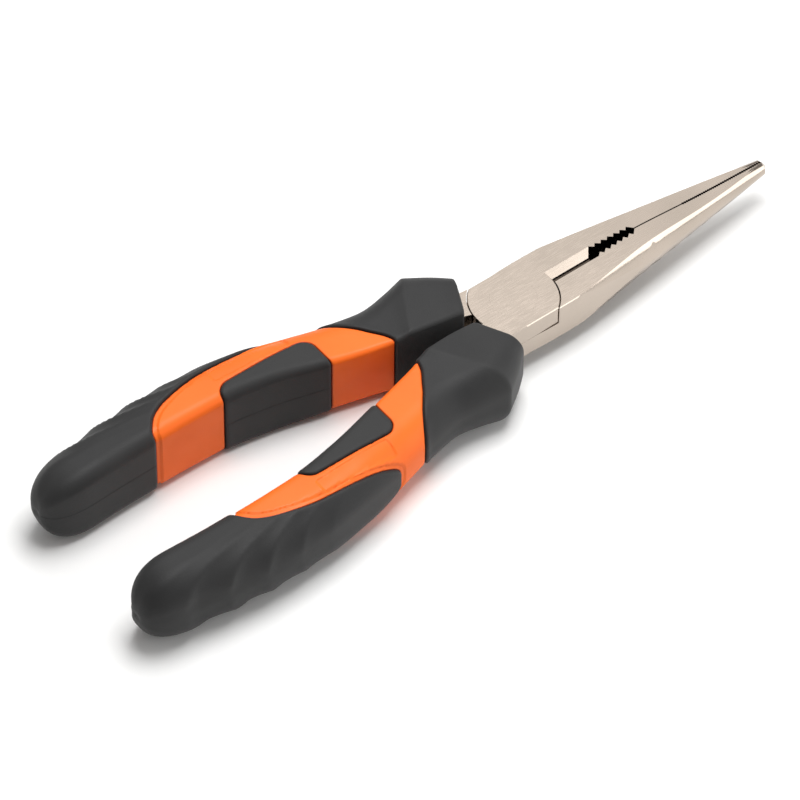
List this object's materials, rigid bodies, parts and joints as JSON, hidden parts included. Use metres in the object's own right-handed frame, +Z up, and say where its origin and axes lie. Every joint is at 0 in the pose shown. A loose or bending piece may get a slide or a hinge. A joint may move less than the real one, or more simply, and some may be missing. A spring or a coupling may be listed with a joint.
{
  "type": "needle nose pliers",
  "caption": "Long-nose pliers lying closed: two lapped steel halves on a rivet, tapered jaws with cutter and pipe teeth, two-colour moulded grips that open about the pivot.",
  "frame": {"origin": "middle of the tool's footprint, on the surface it lies on", "axes": "+X along the tool to the nose tip, +Y across it, +Z up along the pivot"},
  "size_m": [0.2, 0.059, 0.0204],
  "materials": {
    "steel": "satin",
    "orange_plastic": "fine matte",
    "dark_grip": "matte"
  },
  "bodies": {
    "upper_half": {"upper_jaw_half": "steel", "pivot_rivet": "steel", "right_grip_core": "orange_plastic", "right_front_guard": "dark_grip", "right_inner_finger_pad": "dark_grip", "right_palm_pad": "dark_grip"},
    "lower_half": {"lower_jaw_half": "steel", "left_grip_core": "orange_plastic", "left_front_guard": "dark_grip", "left_inner_finger_pad": "dark_grip", "left_palm_pad": "dark_grip"}
  },
  "joints": [
    {"name": "jaw_pivot", "type": "hinge", "parent": "upper_half", "child": "lower_half", "pos_m": [0.0235, 0, 0.0102], "axis": [0, 0, -1], "range_deg": [0, 40]}
  ]
}
